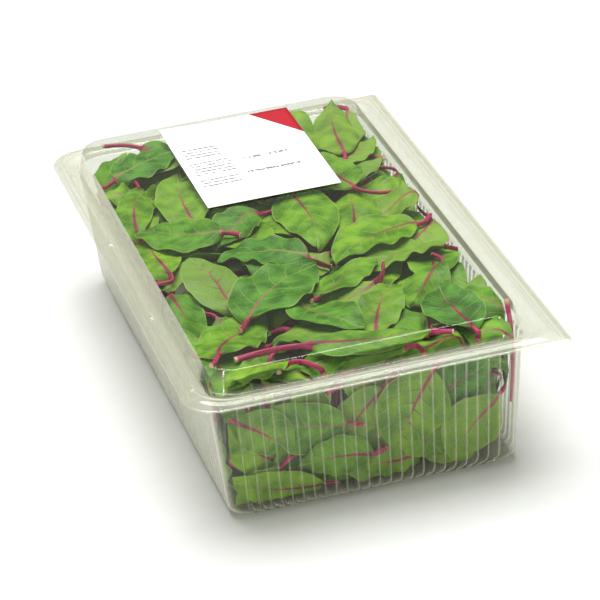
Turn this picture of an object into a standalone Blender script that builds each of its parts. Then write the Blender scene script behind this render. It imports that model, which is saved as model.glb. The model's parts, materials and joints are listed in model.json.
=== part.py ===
"""A hinged clear pack filled with loose baby red chard leaves.

Metres, +Z up. X runs across the pack, Y along it, and the origin is under its middle, on the
surface it stands on. The lid turns about the living hinge along the +X side. Every leaf is one
closed solid. The leaves are laid one after another from the clear face that shows them inwards,
each one tucked behind those laid before it, so that no two of them touch.
"""

import math

import bpy
import numpy as np
from mathutils import Vector

MM = 0.001

# Pack: the driving dimensions.
LENGTH = 360 * MM
WIDTH = 209 * MM
RIM_HEIGHT = 78.5 * MM
TOTAL_HEIGHT = 92 * MM
SHEET = 0.6 * MM
GAP = 0.3 * MM

# Flange widths from the outer edge to the tray wall. The hinge side is the wider one.
FLANGE_OPENING = 14 * MM
FLANGE_HINGE = 20 * MM
FLANGE_END = 15 * MM
# Corner radii of the flange on the opening side and on the hinge side.
FLANGE_RADII = (20 * MM, 1 * MM)

# Tray: walls lean out by DRAFT from foot to rim and carry upright ribs.
DRAFT = 6.5 * MM
WALL_RADIUS_RIM = 11 * MM
WALL_RADIUS_FOOT = 8 * MM
FOOT_RISE = 7 * MM
FOOT_INSET = 5 * MM
RIB_PITCH = 6.5 * MM
RIB_DEPTH = 1.2 * MM
RIB_STOP = 5 * MM
CORNER_STEPS = 4

# Lid: a raised panel stands inside the flange.
PANEL_INSET_OPENING = 13 * MM
PANEL_INSET_HINGE = 18.5 * MM
PANEL_INSET_END = 15.5 * MM
PANEL_RADIUS = 20 * MM
SHOULDER_DRAFT = 2.5 * MM
SHOULDER_ROUND = 2 * MM
LID_CORNER_STEPS = 8
PANEL_SIDE_PARTS = (2, 2)

# Living hinge: its axis lies just outside the flange edges, at the height between them.
HINGE_X = WIDTH / 2 + 0.6 * MM

LABEL_SIZE = (80 * MM, 119 * MM)
LABEL_CENTRE = (1 * MM, 94 * MM)
LABEL_THICKNESS = 0.25 * MM

# Leaves.
BLADE_THICKNESS = 0.9 * MM
PETIOLE_THICKNESS = 2.2 * MM
PETIOLE_HALF_WIDTH = 1.4 * MM
LEAF_GAP = 0.45 * MM
LEAF_STATIONS = (0.0, 0.14, 0.34, 0.56, 0.78, 1.0)
LEAF_ACROSS = (-1.0, -0.5, 0.0, 0.5, 1.0)
FIELD_STEP = 1.5 * MM
SAMPLES_PER_CELL = 10
SETTLE_TURNS = 60
SMOOTH_TURNS = 20
SIDE_BAND = 17 * MM

# Colour, roughness and metallic value of each material.
CLEAR_PLASTIC = ((0.86, 0.89, 0.84), 0.08, 0.0)
LABEL_PAPER = ((0.92, 0.92, 0.92), 0.55, 0.0)
LEAF_GREENS = ((0.16, 0.33, 0.05), (0.22, 0.42, 0.07), (0.12, 0.28, 0.06), (0.28, 0.45, 0.09))
LEAF_ROUGHNESS = 0.45

# Each leaf in millimetres: blade base, blade tip, blade width, petiole length, petiole turn in
# degrees, sideways bow of the midrib. The first ones lie uppermost.
TOP_LEAVES = (
    (-50, -92, 2, -46, 45, 14, 15, 4),
    (10, 48, 9, -24, 37, 10, 10, 5),
    (-38, 8, -84, 34, 40, 12, -10, 3),
    (-76, -22, -77, 32, 27, 34, -105, 3),
    (68, -22, 14, -46, 37, 16, 20, -5),
    (48, 34, 44, 84, 34, 38, 80, 4),
    (-78, -138, -38, -78, 36, 12, 0, 5),
    (-8, -86, 34, -58, 27, 8, 10, 3),
    (74, -56, 20, -66, 30, 12, -20, -8),
    (32, -16, 44, 42, 31, 18, 60, -3),
    (-48, 30, -42, 96, 31, 10, 0, 3),
    (-20, -82, 3, -136, 33, 12, 25, -3),
    (0, -36, -50, -18, 30, 14, -15, -5),
    (57, 84, 71, 158, 29, 20, -20, 3),
    (-81, 34, -64, 90, 22, 16, 10, 4),
    (50, 74, 80, 100, 27, 14, 20, 2),
    (-78, 106, -26, 132, 30, 12, -20, 4),
    (-28, -142, 34, -156, 24, 42, 10, -3),
    (58, -154, 56, -102, 34, 12, 0, 4),
    (8, -140, 36, -84, 27, 12, 10, 3),
    (-44, -116, -6, -136, 28, 22, 20, 4),
    (-44, -148, -80, -156, 24, 26, -60, 2),
    (80, 14, 38, 8, 27, 8, 0, 3),
    (-12, 28, -44, 0, 30, 26, -25, -3),
    (-30, 60, 22, 76, 38, 16, 20, 4),
    (20, 120, -22, 96, 36, 16, 0, 4),
    (-4, 146, 46, 126, 30, 18, 30, -3),
    (-66, 92, -82, 66, 24, 26, 40, 3),
)
# Millimetres across the end wall from its middle, and up from the surface the pack stands on.
FRONT_LEAVES = (
    (-28, 8, -80, 20, 24, 8, 0, 3),
    (36, 66, 14, 20, 44, 10, -20, -3),
    (73, 40, 44, 7, 34, 24, 28, -4),
    (-73, 57, -46, 33, 28, 10, 0, 3),
    (0, 22, -42, 22, 25, 8, 10, -3),
    (-14, 44, -66, 60, 34, 10, 0, 4),
    (16, 29, 40, 10, 26, 12, 30, 3),
    (8, 60, -14, 26, 26, 12, -20, -4),
    (38, 46, 74, 64, 30, 8, 10, 3),
    (24, 12, -6, 18, 18, 6, 0, 2),
    (-14, 66, 16, 58, 22, 10, 30, 2),
)
# The same for the other walls. The back and the hinge side stay free near the rim.
BACK_LEAVES = (
    (-62, 40, -16, 24, 32, 12, 20, 3),
    (14, 18, 60, 36, 33, 14, -20, -3),
    (-30, 16, -70, 20, 24, 10, 10, 3),
    (34, 48, -8, 42, 24, 16, 15, 4),
)
HINGE_SIDE_LEAVES = (
    (-134, 22, -86, 40, 32, 10, 20, 3),
    (-58, 46, -100, 18, 28, 14, -20, 3),
    (-46, 24, 2, 38, 34, 10, 15, -4),
    (52, 44, 8, 20, 30, 12, 20, 3),
    (60, 20, 104, 42, 32, 12, -15, 4),
    (134, 34, 92, 18, 28, 14, 10, 3),
)
OPEN_SIDE_LEAVES = (
    (-132, 40, -84, 26, 36, 10, 15, 3),
    (-96, 58, -50, 42, 30, 14, -20, 4),
    (-8, 24, -56, 34, 34, 10, 10, -3),
    (4, 56, 46, 34, 32, 16, 20, 3),
    (96, 42, 50, 20, 33, 12, -15, 3),
    (132, 54, 92, 30, 34, 12, 20, -4),
)
FLOOR_LEAVES = (
    (-40, -70, 8, -100, 40, 14, 20, 4),
    (36, 40, -14, 76, 40, 14, -20, 4),
)
# How deep behind its face the first leaf of each group may reach.
TOP_FIRST_DEPTH = 5 * MM
WALL_FIRST_DEPTH = 2 * MM
FLOOR_FIRST_DEPTH = 1 * MM

# Room kept between the leaves and the rounded edges of the space that holds them.
PANEL_EDGE = 4 * MM
PANEL_SHOULDER_SLOPE = 3
WALL_END_EDGE = 2 * MM
WALL_FOOT_EDGE = 4 * MM
WALL_RIM_EDGE = 6 * MM


def clear_scene():
    for thing in list(bpy.data.objects):
        bpy.data.objects.remove(thing)


def material(name, colour, roughness, metallic):
    made = bpy.data.materials.new(name)
    made.use_nodes = True
    shader = made.node_tree.nodes["Principled BSDF"]
    shader.inputs["Base Color"].default_value = (*colour, 1.0)
    shader.inputs["Roughness"].default_value = roughness
    shader.inputs["Metallic"].default_value = metallic
    return made


def add_object(name, points, faces, surface):
    mesh = bpy.data.meshes.new(name)
    mesh.from_pydata([tuple(p) for p in points], [], faces)
    mesh.validate()
    mesh.update()
    made = bpy.data.objects.new(name, mesh)
    bpy.context.scene.collection.objects.link(made)
    mesh.materials.append(surface)
    return made


# The pack's own shells


def outline(low, high, radii, steps, ribs=(0, 0), rib_depth=0.0):
    """Points round a rectangle with rounded corners, anticlockwise from above.

    radii are the corner radii of the low-x and high-x sides. Each side holds a set number of
    ribs: every second point of a straight stretch steps inwards by rib_depth.
    """
    corners = (
        (high[0], low[1], radii[1], -90),
        (high[0], high[1], radii[1], 0),
        (low[0], high[1], radii[0], 90),
        (low[0], low[1], radii[0], 180),
    )
    points = []
    for index, (x, y, radius, start) in enumerate(corners):
        toward = Vector((1 if x == high[0] else -1, 1 if y == high[1] else -1))
        centre = Vector((x, y)) - radius * toward
        for step in range(steps + 1):
            angle = math.radians(start + 90 * step / steps)
            points.append(centre + radius * Vector((math.cos(angle), math.sin(angle))))
        after = corners[(index + 1) % 4]
        turn = Vector((1 if after[0] == high[0] else -1, 1 if after[1] == high[1] else -1))
        angle = math.radians(start + 90)
        normal = Vector((math.cos(angle), math.sin(angle)))
        end = Vector(after[:2]) - after[2] * turn + after[2] * normal
        begin = points[-1]
        parts = 2 * ribs[(index + 1) % 2]
        for part in range(1, parts):
            inwards = rib_depth if part % 2 else 0.0
            points.append(begin.lerp(end, part / parts) - normal * inwards)
    return points


def lofted_shell(name, outer, inner, surface):
    """A thin shell from two stacks of rings, which meet at the last ring of each.

    Every ring is (points, height). The first ring of each stack is closed by a flat face.
    """
    rings = [*outer, *reversed(inner)]
    count = len(rings[0][0])
    points = [(p[0], p[1], height) for ring, height in rings for p in ring]
    faces = []
    for ring in range(len(rings) - 1):
        for i in range(count):
            j = (i + 1) % count
            below, above = ring * count, (ring + 1) * count
            faces.append((below + i, below + j, above + j, above + i))
    faces.append(tuple(reversed(range(count))))
    last = (len(rings) - 1) * count
    faces.append(tuple(range(last, last + count)))
    return add_object(name, points, faces, surface)


def box_inset(left, right, end):
    """Low and high corners of the pack's plan, drawn in from the outer edge on each side."""
    low = (-WIDTH / 2 + left, -LENGTH / 2 + end)
    high = (WIDTH / 2 - right, LENGTH / 2 - end)
    return low, high


def wall_box(height, inwards=0.0):
    """The tray wall's plan corners at a height, drawn in by a distance."""
    lean = DRAFT * (1 - height / RIM_HEIGHT) + inwards
    return box_inset(FLANGE_OPENING + lean, FLANGE_HINGE + lean, FLANGE_END + lean)


def make_tray(surface):
    low, high = wall_box(RIM_HEIGHT)
    ribs = (
        round((high[0] - low[0] - 2 * WALL_RADIUS_RIM) / RIB_PITCH),
        round((high[1] - low[1] - 2 * WALL_RADIUS_RIM) / RIB_PITCH),
    )

    def ring(height, inwards, radius, rib_depth):
        corners = wall_box(height, inwards)
        inside = max(radius - inwards, 1 * MM)
        return outline(*corners, (inside, inside), CORNER_STEPS, ribs, rib_depth)

    flange = outline(*box_inset(0, 0, 0), FLANGE_RADII, CORNER_STEPS, ribs)
    top_of_ribs = RIM_HEIGHT - RIB_STOP
    outer = [
        (ring(0, FOOT_INSET, WALL_RADIUS_FOOT + FOOT_INSET, 0), 0),
        (ring(FOOT_RISE, 0, WALL_RADIUS_FOOT, RIB_DEPTH), FOOT_RISE),
        (ring(top_of_ribs, 0, WALL_RADIUS_RIM, RIB_DEPTH), top_of_ribs),
        (ring(RIM_HEIGHT, 0, WALL_RADIUS_RIM, 0), RIM_HEIGHT - SHEET),
        (flange, RIM_HEIGHT - SHEET),
    ]
    inner = [
        (ring(0, FOOT_INSET + SHEET, WALL_RADIUS_FOOT + FOOT_INSET, 0), SHEET),
        (ring(FOOT_RISE, SHEET, WALL_RADIUS_FOOT, RIB_DEPTH), FOOT_RISE + SHEET / 2),
        (ring(top_of_ribs, SHEET, WALL_RADIUS_RIM, RIB_DEPTH), top_of_ribs),
        (ring(RIM_HEIGHT, SHEET, WALL_RADIUS_RIM, 0), RIM_HEIGHT),
        (flange, RIM_HEIGHT),
    ]
    return lofted_shell("tray", outer, inner, surface)


def panel_ring(inwards):
    low, high = box_inset(
        PANEL_INSET_OPENING + inwards,
        PANEL_INSET_HINGE + inwards,
        PANEL_INSET_END + inwards,
    )
    radius = PANEL_RADIUS - inwards
    return outline(low, high, (radius, radius), LID_CORNER_STEPS, PANEL_SIDE_PARTS)


def make_lid(surface):
    """The lid is modelled with its origin on the hinge axis."""
    flange = outline(*box_inset(0, 0, 0), FLANGE_RADII, LID_CORNER_STEPS, PANEL_SIDE_PARTS)
    under = RIM_HEIGHT + GAP
    top_inset = SHOULDER_DRAFT + SHOULDER_ROUND
    inside = [
        (panel_ring(top_inset + SHEET / 2), TOTAL_HEIGHT - SHEET),
        (panel_ring(SHOULDER_DRAFT + SHEET), TOTAL_HEIGHT - SHOULDER_ROUND - SHEET / 2),
        (panel_ring(SHEET), under),
        (flange, under),
    ]
    outside = [
        (panel_ring(top_inset), TOTAL_HEIGHT),
        (panel_ring(SHOULDER_DRAFT), TOTAL_HEIGHT - SHOULDER_ROUND),
        (panel_ring(0), under + SHEET),
        (flange, under + SHEET),
    ]
    lid = lofted_shell("lid", inside, outside, surface)
    axis = Vector((HINGE_X, 0, RIM_HEIGHT + GAP / 2))
    for vertex in lid.data.vertices:
        vertex.co -= axis
    lid.location = axis
    return lid


def make_label(surface):
    """A plain paper label on top of the lid's panel."""
    half_x, half_y = LABEL_SIZE[0] / 2, LABEL_SIZE[1] / 2
    x, y = LABEL_CENTRE
    bottom = TOTAL_HEIGHT + GAP
    corners = [(x - half_x, y - half_y), (x + half_x, y - half_y)]
    corners += [(x + half_x, y + half_y), (x - half_x, y + half_y)]
    top = bottom + LABEL_THICKNESS
    points = [(*c, bottom) for c in corners] + [(*c, top) for c in corners]
    faces = [(3, 2, 1, 0), (4, 5, 6, 7)]
    faces += [(i, (i + 1) % 4, (i + 1) % 4 + 4, i + 4) for i in range(4)]
    return add_object("label", points, faces, surface)


# Leaves


class Face:
    """A side of the space that holds the leaves, with the depth already taken behind it.

    origin is the middle of the face's lower edge, across and up lie in it, and inward is the
    way depth is measured. limits are the least and most that a leaf may reach across and up.
    """

    def __init__(self, origin, across, up, inward, limits, taken):
        self.origin, self.across, self.up, self.inward = map(
            np.array, (origin, across, up, inward)
        )
        self.low, self.high = np.array(limits[0]), np.array(limits[1])
        cells = np.ceil((self.high - self.low) / FIELD_STEP).astype(int) + 3
        grid = np.stack(np.meshgrid(np.arange(cells[0]), np.arange(cells[1]), indexing="ij"), -1)
        self.depth = taken(self.low + (grid - 1) * FIELD_STEP)

    def cells(self, plan):
        found = np.rint((plan - self.low) / FIELD_STEP).astype(int) + 1
        most = np.array(self.depth.shape) - 2
        return np.clip(found, 1, most)

    def needed(self, plan):
        index = self.cells(plan)
        return self.depth[index[..., 0], index[..., 1]]

    def take(self, plan, depth):
        """Marks the space down to depth as taken, one cell past each point."""
        index = self.cells(plan)
        for i in (-1, 0, 1):
            for j in (-1, 0, 1):
                np.maximum.at(self.depth, (index[..., 0] + i, index[..., 1] + j), depth)

    def place(self, plan, depth):
        return (
            self.origin
            + plan[..., :1] * self.across
            + plan[..., 1:] * self.up
            + depth[..., None] * self.inward
        )


def blade_share(along):
    """The blade's half width along it, as a share of the widest: an oval, widest below the middle."""
    return np.sin(math.pi * along**0.82) ** 0.7


def leaf_plan(row, face):
    """The leaf's flat outline: a grid of points along and across it, in the face's plane."""
    base, tip = np.array(row[0:2]) * MM, np.array(row[2:4]) * MM
    width, petiole, turn, bow = row[4] * MM, row[5] * MM, math.radians(row[6]), row[7] * MM
    along = np.array(LEAF_STATIONS)
    line = tip - base
    side = np.array((-line[1], line[0])) / np.linalg.norm(line)
    spine = base + along[:, None] * line + (4 * along * (1 - along))[:, None] * bow * side
    forward = line / np.linalg.norm(line)
    cos, sin = math.cos(turn), math.sin(turn)
    back = -np.array((cos * forward[0] - sin * forward[1], sin * forward[0] + cos * forward[1]))
    middle = base + (0.5 * petiole) * (0.7 * back - 0.3 * forward)
    spine = np.vstack((base + petiole * back, middle, spine))
    tangent = np.gradient(spine, axis=0)
    tangent /= np.linalg.norm(tangent, axis=1)[:, None]
    normal = np.stack((-tangent[:, 1], tangent[:, 0]), 1)
    half = np.maximum(width / 2 * blade_share(np.clip(along, 0, 1)), PETIOLE_HALF_WIDTH)
    half = np.concatenate(((PETIOLE_HALF_WIDTH,) * 2, half))
    half[-1] = PETIOLE_HALF_WIDTH
    across = np.array(LEAF_ACROSS)
    plan = spine[:, None] + across[None, :, None] * half[:, None, None] * normal[:, None]
    return np.clip(plan, face.low, face.high)


def leaf_thickness(stations):
    """Thickest along the petiole and midrib, thin over the blade."""
    fade = np.linspace(1, 0, stations)[:, None]
    rib = BLADE_THICKNESS + (PETIOLE_THICKNESS - BLADE_THICKNESS) * fade
    across = np.abs(np.array(LEAF_ACROSS))[None]
    thickness = np.where(across == 0, rib, BLADE_THICKNESS)
    petiole = np.arange(stations)[:, None] < 2
    return np.where(petiole, PETIOLE_THICKNESS * (1 - 0.3 * across**2), thickness)


def denser(grid):
    """The same surface read at more points: straight between the grid's own."""
    for axis in (0, 1):
        count = grid.shape[axis]
        at = np.linspace(0, count - 1, (count - 1) * SAMPLES_PER_CELL + 1)
        low = np.minimum(at.astype(int), count - 2)
        share = (at - low).reshape([-1 if k == axis else 1 for k in range(grid.ndim)])
        grid = np.take(grid, low, axis) * (1 - share) + np.take(grid, low + 1, axis) * share
    return grid


def settle(face, plan, depth):
    """Pushes the leaf inwards until it clears what is already taken, bending it smoothly."""
    need = face.needed(denser(plan)) + LEAF_GAP
    for turn in range(SETTLE_TURNS):
        short = need - denser(depth)
        if short.max() <= 0:
            break
        push = np.zeros_like(depth)
        rows, columns = np.nonzero(short > 0)
        amount = short[rows, columns]
        for i in (0, 1):
            for j in (0, 1):
                at_row = np.minimum(rows // SAMPLES_PER_CELL + i, depth.shape[0] - 1)
                at_column = np.minimum(columns // SAMPLES_PER_CELL + j, depth.shape[1] - 1)
                np.maximum.at(push, (at_row, at_column), amount)
        spread = np.pad(push, 1, mode="edge")
        near = (spread[:-2, 1:-1] + spread[2:, 1:-1] + spread[1:-1, :-2] + spread[1:-1, 2:]) / 4
        depth = depth + (0.6 * push + 0.3 * near if turn < SMOOTH_TURNS else push)
    return depth


def make_leaf(name, row, face, random, surface, first_depth):
    """One leaf, blade and petiole, as one closed solid laid behind the face."""
    plan = leaf_plan(row, face)
    stations = plan.shape[0]
    along = np.linspace(0, 1, stations)[:, None]
    across = np.abs(np.array(LEAF_ACROSS))[None]
    start, end = random.uniform(0.2, 1.0, 2) * first_depth
    cup = random.uniform(0.2, 1.0) * first_depth / 2
    arch = random.uniform(-0.3, 0.5) * first_depth
    depth = start + (end - start) * along + arch * (1 - 4 * along * (1 - along)) / 2
    depth = np.maximum(depth + cup * across**2, 0)
    depth = settle(face, plan, depth)
    far = depth + leaf_thickness(stations)
    face.take(denser(plan), denser(far))
    near_side, far_side = face.place(plan, depth), face.place(plan, far)
    points = np.concatenate((near_side.reshape(-1, 3), far_side.reshape(-1, 3)))
    across_count = len(LEAF_ACROSS)
    half = stations * across_count

    def at(i, j, side):
        return side * half + i * across_count + j

    faces = []
    for i in range(stations - 1):
        for j in range(across_count - 1):
            faces.append((at(i, j, 0), at(i + 1, j, 0), at(i + 1, j + 1, 0), at(i, j + 1, 0)))
            faces.append((at(i, j, 1), at(i, j + 1, 1), at(i + 1, j + 1, 1), at(i + 1, j, 1)))
    rim = [(i, 0) for i in range(stations)]
    rim += [(stations - 1, j) for j in range(1, across_count)]
    rim += [(i, across_count - 1) for i in range(stations - 2, -1, -1)]
    rim += [(0, j) for j in range(across_count - 2, 0, -1)]
    for (a, b), (c, d) in zip(rim, rim[1:] + rim[:1]):
        faces.append((at(a, b, 0), at(a, b, 1), at(c, d, 1), at(c, d, 0)))
    made = add_object(name, points, faces, surface)
    if handedness(face) > 0:
        made.data.flip_normals()
    return made


def handedness(face):
    return float(np.dot(np.cross(face.across, face.up), face.inward))


def corner_depth(distance, radius):
    """How far a rounded corner stands in at a distance from its side, 0 past the radius."""
    short = np.clip(radius - distance, 0, radius)
    return radius - np.sqrt(radius**2 - short**2)


def wall_face(direction, half_across, limits):
    """The inside of one tray wall. direction is its outward way in plan."""
    low, high = wall_box(0)
    middle = ((low[0] + high[0]) / 2, (low[1] + high[1]) / 2)
    reach = (high[0] - low[0]) / 2 if direction[0] else (high[1] - low[1]) / 2
    inside = reach - SHEET - RIB_DEPTH - GAP
    outward = np.array((*direction, 0.0))
    origin = np.array((*middle, 0.0)) + inside * outward
    slope = math.atan2(DRAFT, RIM_HEIGHT)
    up = math.cos(slope) * np.array((0, 0, 1.0)) + math.sin(slope) * outward
    across = np.array((-direction[1], direction[0], 0.0))
    inward = np.cross(up, across)
    inward *= -np.sign(np.dot(inward, outward))

    def taken(plan):
        side = half_across - np.abs(plan[..., 0])
        foot = corner_depth(plan[..., 1], FOOT_RISE + FOOT_INSET)
        return np.maximum(corner_depth(side, WALL_RADIUS_RIM), foot)

    return Face(origin, across, up, inward, limits, taken)


def top_face():
    """The underside of the lid's raised panel, seen from above."""
    low, high = box_inset(PANEL_INSET_OPENING, PANEL_INSET_HINGE, PANEL_INSET_END)
    low, high = np.array(low), np.array(high)

    def taken(plan):
        inset = np.minimum(plan - low, high - plan).min(-1)
        corner = np.minimum(plan - low, high - plan)
        diagonal = PANEL_RADIUS - np.linalg.norm(np.clip(PANEL_RADIUS - corner, 0, None), axis=-1)
        inset = np.minimum(inset, np.where(corner.max(-1) < PANEL_RADIUS, diagonal, inset))
        shoulder = SHOULDER_DRAFT + SHOULDER_ROUND + 1 * MM
        return np.clip(shoulder - inset, 0, None) * PANEL_SHOULDER_SLOPE

    limits = (low + PANEL_EDGE, high - PANEL_EDGE)
    origin = (0, 0, TOTAL_HEIGHT - SHEET - GAP)
    return Face(origin, (1.0, 0, 0), (0, 1.0, 0), (0, 0, -1.0), limits, taken)


def floor_face():
    origin = (0, 0, SHEET + GAP)
    limits = wall_box(0, SIDE_BAND)
    return Face(
        origin, (1.0, 0, 0), (0, 1.0, 0), (0, 0, 1.0), limits, lambda plan: plan[..., 0] * 0
    )


def make_leaves():
    random = np.random.default_rng(7)
    greens = [
        material(f"chard_leaf_{index}", colour, LEAF_ROUGHNESS, 0.0)
        for index, colour in enumerate(LEAF_GREENS)
    ]
    low, high = wall_box(0)
    half_x = (high[0] - low[0]) / 2 - SHEET - RIB_DEPTH - GAP
    half_y = (high[1] - low[1]) / 2 - SHEET - RIB_DEPTH - GAP
    end_reach, side_reach = half_x - WALL_END_EDGE, half_y - SIDE_BAND
    foot, rim = WALL_FOOT_EDGE, RIM_HEIGHT - WALL_RIM_EDGE
    end_limits = ((-end_reach, foot), (end_reach, rim))
    side_limits = ((-side_reach, foot), (side_reach, rim))
    front = wall_face((0, -1), half_x, end_limits)
    back = wall_face((0, 1), half_x, end_limits)
    hinge_side = wall_face((1, 0), half_y, side_limits)
    open_side = wall_face((-1, 0), half_y, side_limits)
    groups = (
        ("leaf_top", top_face(), TOP_LEAVES, TOP_FIRST_DEPTH),
        ("leaf_front", front, FRONT_LEAVES, WALL_FIRST_DEPTH),
        ("leaf_back", back, BACK_LEAVES, WALL_FIRST_DEPTH),
        ("leaf_hinge_side", hinge_side, HINGE_SIDE_LEAVES, WALL_FIRST_DEPTH),
        ("leaf_open_side", open_side, OPEN_SIDE_LEAVES, WALL_FIRST_DEPTH),
        ("leaf_floor", floor_face(), FLOOR_LEAVES, FLOOR_FIRST_DEPTH),
    )
    for group, face, rows, first_depth in groups:
        for index, row in enumerate(rows):
            surface = greens[index % len(greens)]
            make_leaf(f"{group}_{index + 1:02d}", row, face, random, surface, first_depth)


def main():
    clear_scene()
    plastic = material("clear_pet", *CLEAR_PLASTIC)
    make_tray(plastic)
    make_lid(plastic)
    make_label(material("label_paper", *LABEL_PAPER))
    make_leaves()


main()
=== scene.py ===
"""Looks of the hinged clear pack of baby red chard leaves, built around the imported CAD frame.

Every place comes from the frame's boxes and from the pack's own dimensions, in metres. Each CAD
leaf is replaced by a finer one that lies on it, and many more leaves are tucked in behind them,
so that the pack reads as full from every side.
"""

import json
import math

import bpy
import numpy as np
from mathutils import Matrix, Vector
from mathutils.bvhtree import BVHTree


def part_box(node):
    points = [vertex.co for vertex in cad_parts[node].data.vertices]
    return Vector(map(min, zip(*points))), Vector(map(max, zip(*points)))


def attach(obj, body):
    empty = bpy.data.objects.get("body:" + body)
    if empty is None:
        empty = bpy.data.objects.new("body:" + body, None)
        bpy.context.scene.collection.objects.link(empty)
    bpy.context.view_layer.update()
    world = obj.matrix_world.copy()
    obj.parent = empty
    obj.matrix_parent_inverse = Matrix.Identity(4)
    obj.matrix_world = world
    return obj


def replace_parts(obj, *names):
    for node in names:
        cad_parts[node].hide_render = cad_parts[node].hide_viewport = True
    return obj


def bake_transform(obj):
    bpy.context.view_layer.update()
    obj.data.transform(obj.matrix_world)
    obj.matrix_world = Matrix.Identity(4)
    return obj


MM = 0.001

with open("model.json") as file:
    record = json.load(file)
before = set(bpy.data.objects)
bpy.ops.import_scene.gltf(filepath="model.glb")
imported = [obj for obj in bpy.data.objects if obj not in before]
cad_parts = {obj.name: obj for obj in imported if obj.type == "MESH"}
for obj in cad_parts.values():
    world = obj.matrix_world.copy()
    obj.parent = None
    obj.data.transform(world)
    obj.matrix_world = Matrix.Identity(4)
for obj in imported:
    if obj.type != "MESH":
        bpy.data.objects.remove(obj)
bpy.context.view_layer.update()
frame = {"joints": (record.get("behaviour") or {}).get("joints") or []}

TRAY_LOW, TRAY_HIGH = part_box("tray")
LENGTH = TRAY_HIGH.y - TRAY_LOW.y
RIM = TRAY_HIGH.z
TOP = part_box("lid")[1].z
HINGE = Vector(frame["joints"][0]["pos_m"])

# The pack's own dimensions, as the CAD model has them.
FLANGE_OPENING = 14 * MM
FLANGE_HINGE = 20 * MM
FLANGE_END = 15 * MM
FLANGE_RADIUS = 20 * MM
DRAFT = 6.5 * MM
WALL_RADIUS_RIM = 11 * MM
WALL_RADIUS_FOOT = 8 * MM
FOOT_RISE = 7 * MM
FOOT_INSET = 5 * MM
RIB_PITCH = 6.5 * MM
RIB_DEPTH = 1.2 * MM
RIB_STOP = 5 * MM
PANEL_INSET_OPENING = 13 * MM
PANEL_INSET_HINGE = 18.5 * MM
PANEL_INSET_END = 15.5 * MM
PANEL_RADIUS = 20 * MM
SHOULDER_DRAFT = 2.5 * MM
SHOULDER_ROUND = 2 * MM
CAD_SHEET = 0.6 * MM
GAP = 0.3 * MM
SHEET = 0.4 * MM
SIDE_BAND = 17 * MM
TRAY_EDGE_INSET = 0.3 * MM
LID_EDGE_INSET = 0.2 * MM
HINGE_CORNER = 1.5 * MM

# How finely the tray is drawn: points to a rib and to a corner, and how narrow a rib's crest is.
RIB_SAMPLES = 12
WALL_CORNER_STEPS = 12
RIB_SHARPNESS = 5

# Side veins: how many to a blade, and how far and how hollow their sweep to the tip is.
VEINS = 6.2
VEIN_SWEEP = 0.24
VEIN_CURVE = 1.25


def linear(code, alpha=1.0):
    """A colour from its sRGB hex code."""
    parts = [int(code[i : i + 2], 16) / 255 for i in (1, 3, 5)]
    made = [c / 12.92 if c <= 0.04045 else ((c + 0.055) / 1.055) ** 2.4 for c in parts]
    return (*made, alpha)


def add(tree, kind, inputs=None, **settings):
    """Adds a node with its settings, and fills its inputs with values or with links."""
    made = tree.nodes.new(kind)
    for name, value in settings.items():
        setattr(made, name, value)
    for key, value in (inputs or {}).items():
        if isinstance(value, bpy.types.NodeSocket):
            tree.links.new(value, made.inputs[key])
        else:
            made.inputs[key].default_value = value
    return made


def new_material(name):
    made = bpy.data.materials.new(name)
    made.use_nodes = True
    made.node_tree.nodes.clear()
    return made, made.node_tree


def mesh_object(name, points, faces, surface, smooth=True):
    mesh = bpy.data.meshes.new(name)
    mesh.from_pydata([tuple(p) for p in points], [], faces)
    mesh.update()
    made = bpy.data.objects.new(name, mesh)
    bpy.context.scene.collection.objects.link(made)
    mesh.materials.append(surface)
    if smooth:
        mesh.shade_smooth()
    return made


# Materials


def node_tools(tree):
    """Short ways to add the nodes used most: maths, a smooth ramp, a colour mix, a shader mix."""

    def calc(operation, *values):
        return add(tree, "ShaderNodeMath", dict(enumerate(values)), operation=operation).outputs[0]

    def ramp(value, low, high, to_low=0.0, to_high=1.0):
        inputs = {0: value, 1: low, 2: high, 3: to_low, 4: to_high}
        return add(
            tree, "ShaderNodeMapRange", inputs, interpolation_type="SMOOTHSTEP"
        ).outputs[0]

    def mix(share, a, b):
        return add(tree, "ShaderNodeMix", {0: share, 6: a, 7: b}, data_type="RGBA").outputs[2]

    def layered(share, a, b):
        return add(tree, "ShaderNodeMixShader", {0: share, 1: a, 2: b}).outputs[0]

    return calc, ramp, mix, layered


def bumped(tree, height, strength, distance):
    """A surface direction tilted by a height."""
    inputs = {"Height": height, "Strength": strength, "Distance": distance}
    return add(tree, "ShaderNodeBump", inputs).outputs["Normal"]


def noise(tree, place, scale, detail):
    inputs = {"Vector": place, "Scale": scale, "Detail": detail}
    return add(tree, "ShaderNodeTexNoise", inputs).outputs["Fac"]


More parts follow.
